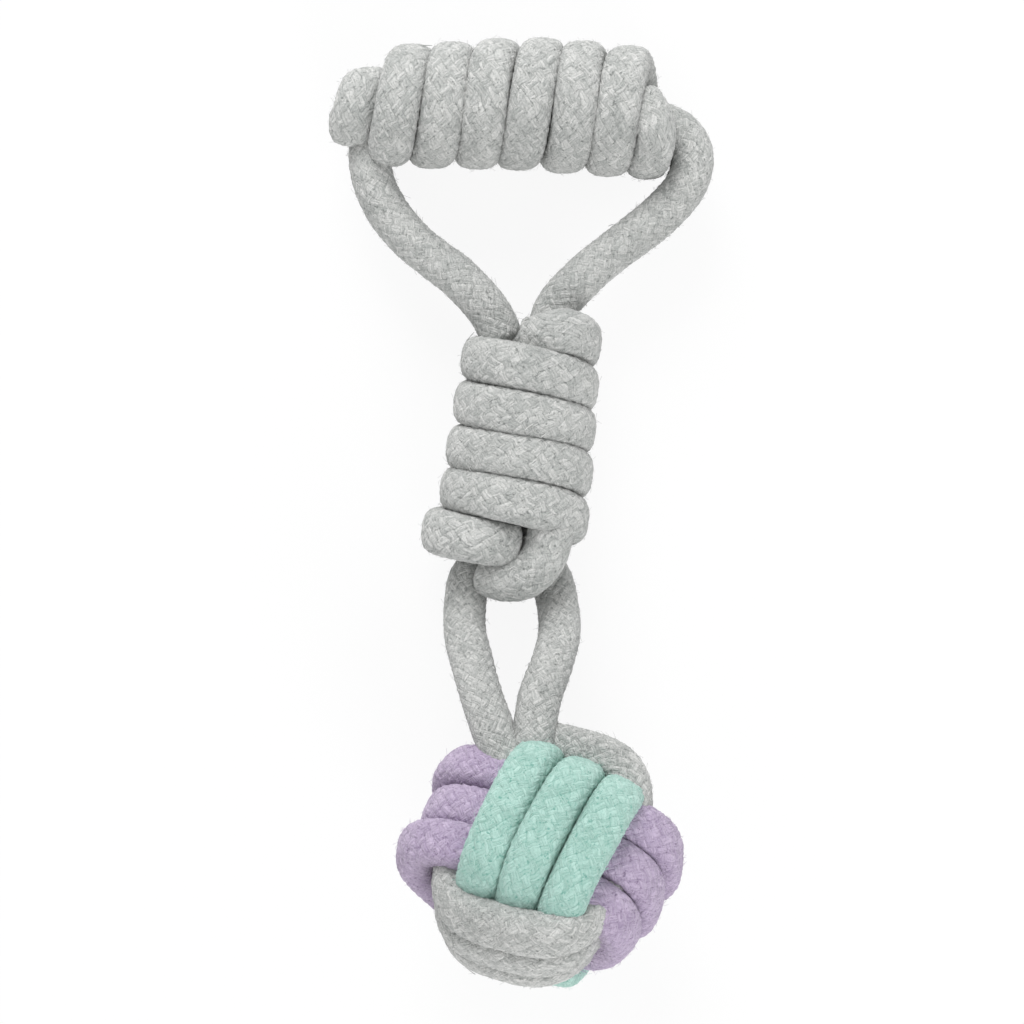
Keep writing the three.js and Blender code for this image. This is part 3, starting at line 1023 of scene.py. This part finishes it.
@dataclass
class Knot:
    """The wrapped knot: a rope wound round the two strands of the toy's loop, with a small bight
    that comes out under the winding and tucks in behind its end."""

    top: Triple = (2.2, 37.55, 17.25)
    lean: float = math.radians(6.5)
    pitch: float = 11.9
    ease: float = 0.43
    turns: int = 5
    lead: float = 0.04
    tail: float = 0.03
    tuck: float = 7.5
    width_top: float = 12.9
    width_bottom: float = 15.1
    width_bulge: float = 18.6
    depth: float = 12.9
    rope_width: float = 12.6
    rope_depth: float = 11.4
    bow: float = 0.8
    uneven: float = 0.35
    uneven_rate: float = 1.31
    uneven_phase: float = 1.0
    lead_rise: float = 4.5
    lead_end: float = 0.13
    tail_start: float = 0.11
    bulge_turns: Pair = (0.75, 0.25)
    strand_width: float = 7.2
    strand_aside: float = 3.7
    strand_places: tuple[float, ...] = (12.0, -8.0, -28.0, -46.0)
    bight_width: float = 12.6
    bight_points: Route = (
        (8.6, 2.0, 22.0), (8.0, -5.0, 24.6), (6.2, -12.0, 25.6), (1.4, -17.2, 24.6), (-5.0, -18.0, 22.0),
        (-10.5, -15.4, 18.5),
    )

    def up(self) -> Array:
        """Gives the direction along the knot, towards the grip."""
        return np.array((math.sin(self.lean), math.cos(self.lean), 0.0))

    def across(self) -> Array:
        """Gives the direction across the knot."""
        return np.array((math.cos(self.lean), -math.sin(self.lean), 0.0))

    def winding(self) -> RopePath:
        """Winds the knot's rope, whose two ends tuck in between the strands.

        Returns:
            The rope's route.
        """
        turn = np.linspace(-self.lead, self.turns + self.tail, WINDING_STEPS)
        angle = FULL_TURN * turn
        down = np.clip(turn / (self.turns - 1), 0, 1)
        plain = self.width_top + (self.width_bottom - self.width_top) * down
        bulge = smooth_step(turn, *(self.turns - before for before in self.bulge_turns))
        half_width = plain + (self.width_bulge - plain) * bulge
        above = 1.0 - smooth_step(turn, -self.lead, self.lead_end)
        below = smooth_step(turn, self.turns - self.tail_start, self.turns + self.tail)
        half_depth = self.depth - self.tuck * above - self.tuck * below
        outs = np.cos(angle)[:, None] * UP + np.sin(angle)[:, None] * self.across()
        wound = self.pitch * (1 - turn + self.ease * np.sin(angle) / FULL_TURN) - self.lead_rise * above
        stray = np.sin(self.uneven_rate * angle + self.uneven_phase)
        wound = wound + self.bow * np.cos(angle) + self.uneven * stray
        centres = np.array(self.top) + wound[:, None] * self.up()
        centres = centres + (half_width * np.sin(angle))[:, None] * self.across()
        centres[:, 2] += half_depth * np.cos(angle)
        return wound_path(centres, outs, self.rope_width, self.rope_depth)

    def strand(self, side: float) -> RopePath:
        """Gives the route of one strand inside the winding.

        Args:
            side: -1 for the left strand, 1 for the right one.

        Returns:
            The route.
        """
        middle = np.array(self.top) + side * self.strand_aside * self.across()
        points = tuple(tuple(middle + up * self.up()) for up in self.strand_places)
        return free_path(points, self.strand_width)

    def build(self, shop: Workshop) -> None:
        """Makes the knot's pieces.

        Args:
            shop: What makes the ropes.
        """
        rider = Rider(Body.KNOT)
        shop.lay("knot_wrap", self.winding(), Slot.GREY, rider, "knot_winding")
        for side, sign in (("left", -1.0), ("right", 1.0)):
            inner, node = f"knot_inner_{side}", f"knot_strand_{side}"
            shop.lay(inner, self.strand(sign), Slot.GREY, rider, node, fuzzy=False)
        bight = free_path(self.bight_points, self.bight_width)
        shop.lay("knot_tuck", bight, Slot.GREY, rider, "knot_bight")


@dataclass
class LowerLegs:
    """The two rope legs between the knot and the ball. Each is made in two halves, one for each bend."""

    middle: float = -40.9
    fold: Bend = Bend(Body.KNOT, Body.LOWER_LEGS, -25.5, -38.5, 20.0)
    tilt: Bend = Bend(Body.LOWER_LEGS, Body.BALL, -43.3, -57.0, 34.0)
    left: Route = (
        (-6.5, -4.0, 13.6), (-10.4, -13.0, 14.05), (-14.5, -20.0, 15.25), (-15.3, -31.8, 20.0),
        (-13.2, -40.9, 27.0), (-10.5, -50.0, 34.0), (-6.5, -61.0, 38.6), (-3.0, -70.0, 41.6),
    )
    right: Route = (
        (3.0, -4.0, 11.6), (4.8, -13.0, 11.65), (8.8, -20.0, 12.65), (10.5, -31.8, 20.0),
        (8.4, -40.9, 27.0), (5.0, -50.0, 34.0), (3.2, -61.0, 38.6), (2.0, -70.0, 41.6),
    )

    def build(self, shop: Workshop) -> None:
        """Makes both legs in halves.

        Args:
            shop: What makes the ropes.
        """
        step = shop.weave.step()
        for side, points in (("left", self.left), ("right", self.right)):
            whole = free_path(points, ROPE)
            lengths = whole.lengths()
            split = float(np.interp(-self.middle, -whole.centres[:, 1], lengths))
            split = round(split / step) * step
            first = whole.at(np.linspace(0.0, split + step / 4, ROUTE_STEPS))
            second = whole.at(np.linspace(split, lengths[-1], ROUTE_STEPS))
            seed = HALVES_SEED + len(side)
            upper, lower = Seam(seed, 0.0, (True, False)), Seam(seed, split, (False, True))
            shop.lay(f"lower_rope_{side}_top", first, Slot.GREY, self.fold, f"lower_leg_{side}", upper)
            shop.lay(f"lower_rope_{side}_end", second, Slot.GREY, self.tilt, f"ball_entry_{side}", lower)


@dataclass(frozen=True)
class Lay:
    """How one band lies on the ball, with values for its three lanes where they differ."""

    slot: Slot
    name: str
    axes: tuple[int, int, int]
    over: Triple
    under: Triple = (20.4, 20.4, 20.4)
    slide: Triple = (0.0, 0.0, 0.0)
    tuck: Triple = (0.0, 0.0, 0.0)
    rise: float = 0.0
    lead: float = 0.0
    shift: float = 0.0
    ease: float = 0.0


BANDS = (
    Lay(Slot.MINT, "mint", (2, 1, 0), (28.6, 29.8, 28.6), rise=0.07, lead=-0.07, shift=2.2),
    Lay(
        Slot.LAVENDER, "lavender", (0, 2, 1), (29.1, 29.0, 30.2),
        slide=(-2.6, 0.0, 0.0), tuck=(8.5, 0.0, 0.0),
    ),
    Lay(
        Slot.GREY, "grey", (1, 0, 2), (27.6, 28.8, 27.6), (17.6, 19.6, 20.4),
        rise=0.24, shift=5.0, ease=1.4,
    ),
)


@dataclass
class Ball:
    """The ball: three bands of three turns, woven over and under each other round a wad."""

    centre: Triple = (5.7, -94.1, 33.5)
    turn: float = math.radians(-22.0)
    tip: float = math.radians(-28.0)
    turns: int = 3
    pitch: float = 11.8
    rope_width: float = 12.4
    rope_depth: float = 10.4
    squareness: float = 3.2
    lane_lean: float = 0.3
    lane_share: float = 2 / 24
    uneven: float = 0.35
    uneven_rate: float = 4.6
    tuck_start: float = -0.2
    near_tuck: float = 0.4
    wad_radius: float = 17.5
    lumps: Triple = (420.0, 390.0, 440.0)
    lump_height: float = 0.04

    def placed(self, vectors: Array) -> Array:
        """Turns vectors from the ball's own frame into the toy's.

        Args:
            vectors: Vectors in the ball's frame.

        Returns:
            The turned vectors.
        """
        c, s = math.cos(self.turn), math.sin(self.turn)
        spin = np.array(((c, -s, 0.0), (s, c, 0.0), (0.0, 0.0, 1.0)))
        c, s = math.cos(self.tip), math.sin(self.tip)
        tilt = np.array(((1.0, 0.0, 0.0), (0.0, c, -s), (0.0, s, c)))
        return vectors @ (tilt @ spin).T

    def band(self, lay: Lay) -> RopePath:
        """Gives the route of one band.

        Args:
            lay: How it lies. Its axes are those that it crosses over and under on, and along which its
                lanes lie. A lane slides the way it crosses over, and tucks in low, less on its near side.
                A strand rises to the next lane, which may lie ahead. Rise and shift fade by the ease
                where the band crosses under its neighbour.

        Returns:
            The route.
        """
        n = self.squareness
        share = np.linspace(self.lane_share, self.turns - self.lane_share, WINDING_STEPS)
        lane = np.floor(share) - (self.turns - 1) / 2
        part = share - np.floor(share)
        early = np.minimum(part / self.lane_share, 1.0)
        late = np.maximum((part - 1 + self.lane_share) / self.lane_share, 0.0)
        lane = lane + (early - 1 + late) / 2
        values = (lay.over, lay.under, lay.slide, lay.tuck)
        reach_over, reach_under, slide, tuck = (np.interp(lane, (-1.0, 0.0, 1.0), each) for each in values)
        angle = math.pi - FULL_TURN * part
        c, s = np.cos(angle), np.sin(angle)
        reach = (np.abs(c / reach_under) ** n + np.abs(s / reach_over) ** n) ** (-1 / n)
        low, high = reach * c, reach * s
        tuck = tuck * smooth_step(-low / reach_under, self.tuck_start, 1.0)
        tuck = tuck * np.where(high < 0.0, 1.0, self.near_tuck)
        moved = high + (slide * np.abs(high) - tuck * high) / reach_over
        out_low = np.sign(low) * np.abs(low / reach_under) ** (n - 1) / reach_under
        out_high = np.sign(high) * np.abs(high / reach_over) ** (n - 1) / reach_over
        size = np.hypot(out_low, out_high)
        out_low, out_high = out_low / size, out_high / size
        centres, outs = np.zeros((len(share), 3)), np.zeros((len(share), 3))
        over_axis, under_axis, lane_axis = lay.axes
        out_lane = self.lane_lean * lane * np.abs(out_high)
        beside = lane * self.pitch + self.uneven * np.sin(self.uneven_rate * math.pi * share)
        raised = beside + (lay.shift + lay.rise * low) * np.abs(high / reach_over) ** lay.ease
        ahead = low + lay.lead * beside
        for rows, up, run, aside in ((centres, moved, ahead, raised), (outs, out_high, out_low, out_lane)):
            rows[:, over_axis] = up
            rows[:, under_axis] = run
            rows[:, lane_axis] = aside
        centres = self.placed(centres) + np.array(self.centre)
        return wound_path(centres, self.placed(outs), self.rope_width, self.rope_depth)

    def wad(self, shop: Workshop) -> Object:
        """Makes the lumpy wad inside the bands.

        Args:
            shop: What holds the finishes.

        Returns:
            The wad.
        """
        shape = bmesh.new()
        shape.loops.layers.uv.new(BRAID_MAP)
        bmesh.ops.create_icosphere(shape, subdivisions=4, radius=self.wad_radius * MM, calc_uvs=True)
        for vert in shape.verts:
            x, y, z = (value * rate for value, rate in zip(vert.co, self.lumps))
            vert.co *= 1.0 + self.lump_height * math.sin(x) * math.sin(y + 1.0) * math.sin(z)
        bmesh.ops.translate(shape, verts=shape.verts[:], vec=Vector(self.centre) * MM)
        return solid("ball_wad", shape, bpy.data.meshes.new("ball_wad"), shop.cotton[Slot.CORE])

    def build(self, shop: Workshop) -> None:
        """Makes the ball's pieces.

        Args:
            shop: What makes the ropes.
        """
        rider = Rider(Body.BALL)
        for lay in BANDS:
            shop.lay(f"{lay.name}_band", self.band(lay), lay.slot, rider, f"{lay.name}_winding")
        wad = self.wad(shop)
        rider.tie(wad)
        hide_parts("ball_core")


# Studio


@dataclass
class Studio:
    """The white floor, soft lights and the camera above the toy."""

    pixel: float = 0.27273
    centre_pixel: Pair = (521.0, 511.5)
    image: int = 1024
    focus_height: float = 17.0
    lens: float = 135.0
    sensor: float = 36.0
    far_clip: float = 20.0
    floor_size: float = 6.0
    floor_drop: float = 0.0002
    floor_grey: float = 0.82
    floor_white: float = 0.9
    world_light: float = 0.85
    lamp_size: float = 0.9

    def camera(self) -> None:
        """Sets up the camera straight above the toy."""
        data = bpy.data.cameras.new("camera")
        data.lens = self.lens
        data.sensor_width = self.sensor
        data.clip_end = self.far_clip
        camera = place("camera", data)
        x = (self.image / 2 - self.centre_pixel[0]) * self.pixel
        y = (self.centre_pixel[1] - self.image / 2) * self.pixel
        distance = self.image * self.pixel * self.lens / self.sensor
        camera.location = (x * MM, y * MM, (distance + self.focus_height) * MM)
        bpy.context.scene.camera = camera

    def floor(self) -> None:
        """Makes the white floor, which the camera sees almost without shade."""
        shape = bmesh.new()
        bmesh.ops.create_grid(shape, x_segments=1, y_segments=1, size=self.floor_size / 2)
        bmesh.ops.translate(shape, verts=shape.verts[:], vec=(0.0, 0.0, -self.floor_drop))
        mesh = bpy.data.meshes.new("floor")
        shape.to_mesh(mesh)
        shape.free()
        material = bpy.data.materials.new("white_floor")
        material.use_nodes = True
        sums = Sums(material.node_tree)
        sums.tree.nodes.clear()
        plain = sums.add("ShaderNodeBsdfDiffuse", (*[self.floor_grey] * 3, 1.0)).outputs[0]
        white = sums.add("ShaderNodeEmission").outputs[0]
        share = sums.math("MULTIPLY", sums.seen(), self.floor_white)
        mix = sums.add("ShaderNodeMixShader", share, plain, white).outputs[0]
        sums.add("ShaderNodeOutputMaterial", mix)
        mesh.materials.append(material)
        floor = place("floor", mesh)

    def world(self) -> None:
        """Sets an even white surround that the camera sees as white."""
        world = bpy.data.worlds.new("white_room")
        world.use_nodes = True
        sums = Sums(world.node_tree)
        sums.tree.nodes.clear()
        strength = sums.mix(sums.seen(), self.world_light, 1.0)
        back = sums.fill(sums.add("ShaderNodeBackground"), {"Strength": strength})
        sums.add("ShaderNodeOutputWorld", back.outputs[0])
        bpy.context.scene.world = world

    def lamp(self, name: str, spot: Triple, power: float) -> None:
        """Hangs one soft lamp that points at the toy.

        Args:
            name: The lamp's name.
            spot: Where it hangs, in metres.
            power: Its power, in watts.
        """
        data = bpy.data.lights.new(name, "AREA")
        data.shape = "DISK"
        data.size = self.lamp_size
        data.energy = power
        lamp = place(name, data)
        lamp.location = spot
        lamp.rotation_euler = (-Vector(spot)).to_track_quat("-Z", "Y").to_euler()

    def build(self) -> None:
        """Makes the whole studio."""
        self.camera()
        self.floor()
        self.world()
        self.lamp("key_lamp", (-0.25, 1.4, 0.9), power=21.5)
        self.lamp("fill_lamp", (0.5, -1.35, 0.9), power=14.0)
        bpy.context.scene.view_settings.view_transform = "Standard"


# Each finish's crease colour is the colour of its painted shade.
FINISHES = (
    CottonFinish(
        "grey_braid", Slot.GREY,
        pale=(0.68, 0.68, 0.665), deep=(0.30, 0.315, 0.305), crease_shade=(0.14, 0.153, 0.145), heather=0.8,
    ),
    CottonFinish(
        "mint_braid", Slot.MINT,
        pale=(0.50, 0.72, 0.655), deep=(0.26, 0.455, 0.395), crease_shade=(0.11, 0.33, 0.27), heather=0.6,
    ),
    CottonFinish(
        "lavender_braid", Slot.LAVENDER,
        pale=(0.57, 0.475, 0.63), deep=(0.33, 0.26, 0.39), crease_shade=(0.16, 0.11, 0.20), heather=0.8,
    ),
    CottonFinish(
        "core_cotton", Slot.CORE,
        pale=(0.74, 0.71, 0.63), deep=(0.55, 0.52, 0.45), crease_shade=(0.3, 0.28, 0.24), heather=0.5,
    ),
)


def main() -> None:
    """Builds the studio and every piece of the toy."""
    logging.basicConfig(level=logging.INFO, format="%(message)s")
    Studio().build()
    loose = {
        "fuzz": FibreMaker(thickness=0.06, reach=(0.5, 1.8), stand=(0.15, 0.8), per_square_mm=0.15),
        "ends": FibreMaker(thickness=0.2, reach=(1.4, 3.2), stand=(0.08, 0.3), per_square_mm=0.0022),
    }
    shop = Workshop(FINISHES, Weave(), loose)
    for assembly in (UpperLegs(), Handle(), Knot(), LowerLegs(), Ball()):
        assembly.build(shop)
        log.info("%s done", type(assembly).__name__)


if __name__ == "__main__":
    main()
